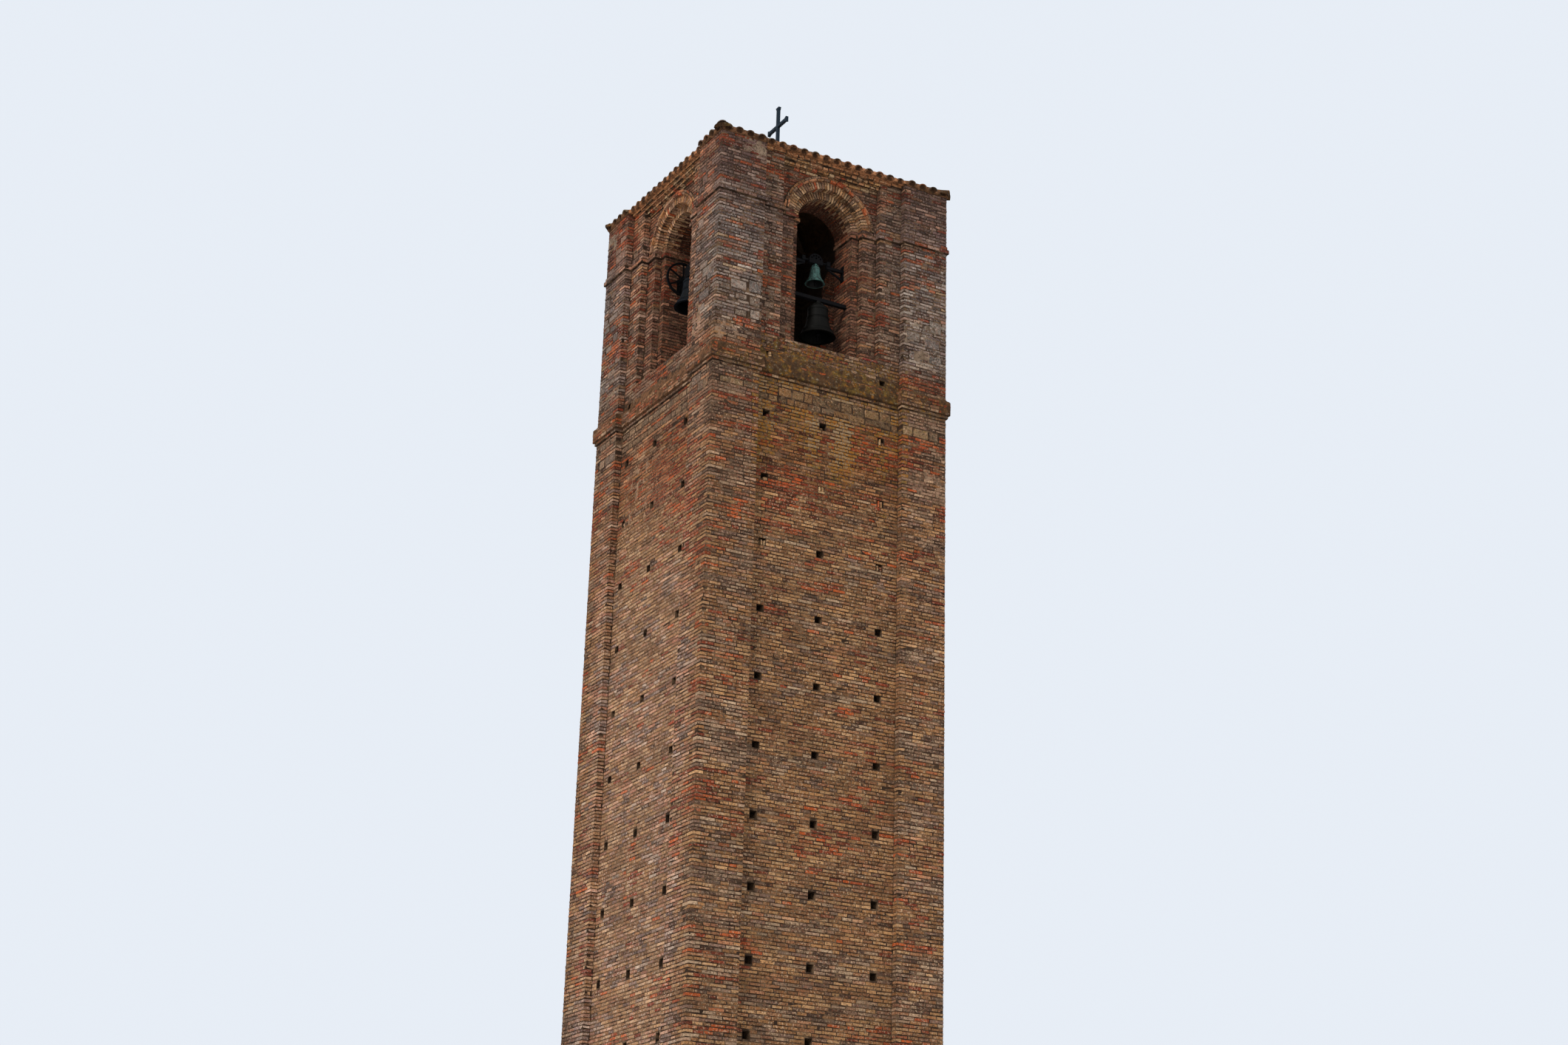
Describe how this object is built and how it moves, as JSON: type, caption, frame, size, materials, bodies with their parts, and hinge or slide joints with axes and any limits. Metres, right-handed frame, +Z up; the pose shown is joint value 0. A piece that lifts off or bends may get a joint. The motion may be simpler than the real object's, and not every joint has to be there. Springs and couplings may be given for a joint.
{
  "type": "brick bell tower with an open belfry",
  "caption": "Tall square brick bell tower: plain shaft with corner pilasters, an open belfry of stepped arches, hung bells, a low hipped tile roof and an iron cross.",
  "frame": {"origin": "middle of the base, at ground level", "axes": "+Z up, -Y out of the front face, -X out of the left face"},
  "size_m": [5.1966, 5.0496, 27.64],
  "materials": {
    "old_brick": "weathered brick",
    "sill_stone": "rendered brick with lichen",
    "roof_tile": "weathered clay",
    "old_timber": "rough sawn",
    "bell_bronze": "green patina",
    "dark_iron": "painted, worn"
  },
  "bodies": {
    "tower": {"front_left_shaft_pier": "old_brick", "front_right_shaft_pier": "old_brick", "rear_right_shaft_pier": "old_brick", "rear_left_shaft_pier": "old_brick", "front_shaft_wall": "old_brick", "right_shaft_wall": "old_brick", "rear_shaft_wall": "old_brick", "left_shaft_wall": "old_brick", "front_sill_band": "sill_stone", "right_sill_band": "sill_stone", "rear_sill_band": "sill_stone", "left_sill_band": "sill_stone", "front_parapet": "old_brick", "right_parapet": "old_brick", "rear_parapet": "old_brick", "left_parapet": "old_brick", "front_left_belfry_pier": "old_brick", "front_right_belfry_pier": "old_brick", "rear_right_belfry_pier": "old_brick", "rear_left_belfry_pier": "old_brick", "front_arch_wall": "old_brick", "right_arch_wall": "old_brick", "rear_arch_wall": "old_brick", "left_arch_wall": "old_brick", "front_roof_slope": "roof_tile", "right_roof_slope": "roof_tile", "rear_roof_slope": "roof_tile", "left_roof_slope": "roof_tile", "hip_caps": "roof_tile", "chamber_floor": "old_timber", "roof_frame": "old_timber", "lower_bell": "bell_bronze", "cross": "dark_iron", "upper_bell_brackets": "dark_iron", "bell_beam": "dark_iron", "lower_bell_clapper": "dark_iron", "side_bell_brackets": "dark_iron"},
    "upper_bell_swing": {"upper_bell": "bell_bronze", "upper_bell_yoke": "dark_iron", "upper_bell_clapper": "dark_iron"},
    "side_bell_swing": {"side_bell": "bell_bronze", "side_bell_yoke": "dark_iron", "side_bell_wheel": "dark_iron", "side_bell_clapper": "dark_iron"}
  },
  "joints": [
    {"name": "upper_bell_ring", "type": "hinge", "parent": "tower", "child": "upper_bell_swing", "pos_m": [0, -1.675, 23.415], "axis": [1, 0, 0], "range_deg": [-60, 60]},
    {"name": "side_bell_ring", "type": "hinge", "parent": "tower", "child": "side_bell_swing", "pos_m": [-1.75, 0, 23.455], "axis": [0, 1, 0], "range_deg": [-60, 60]}
  ]
}
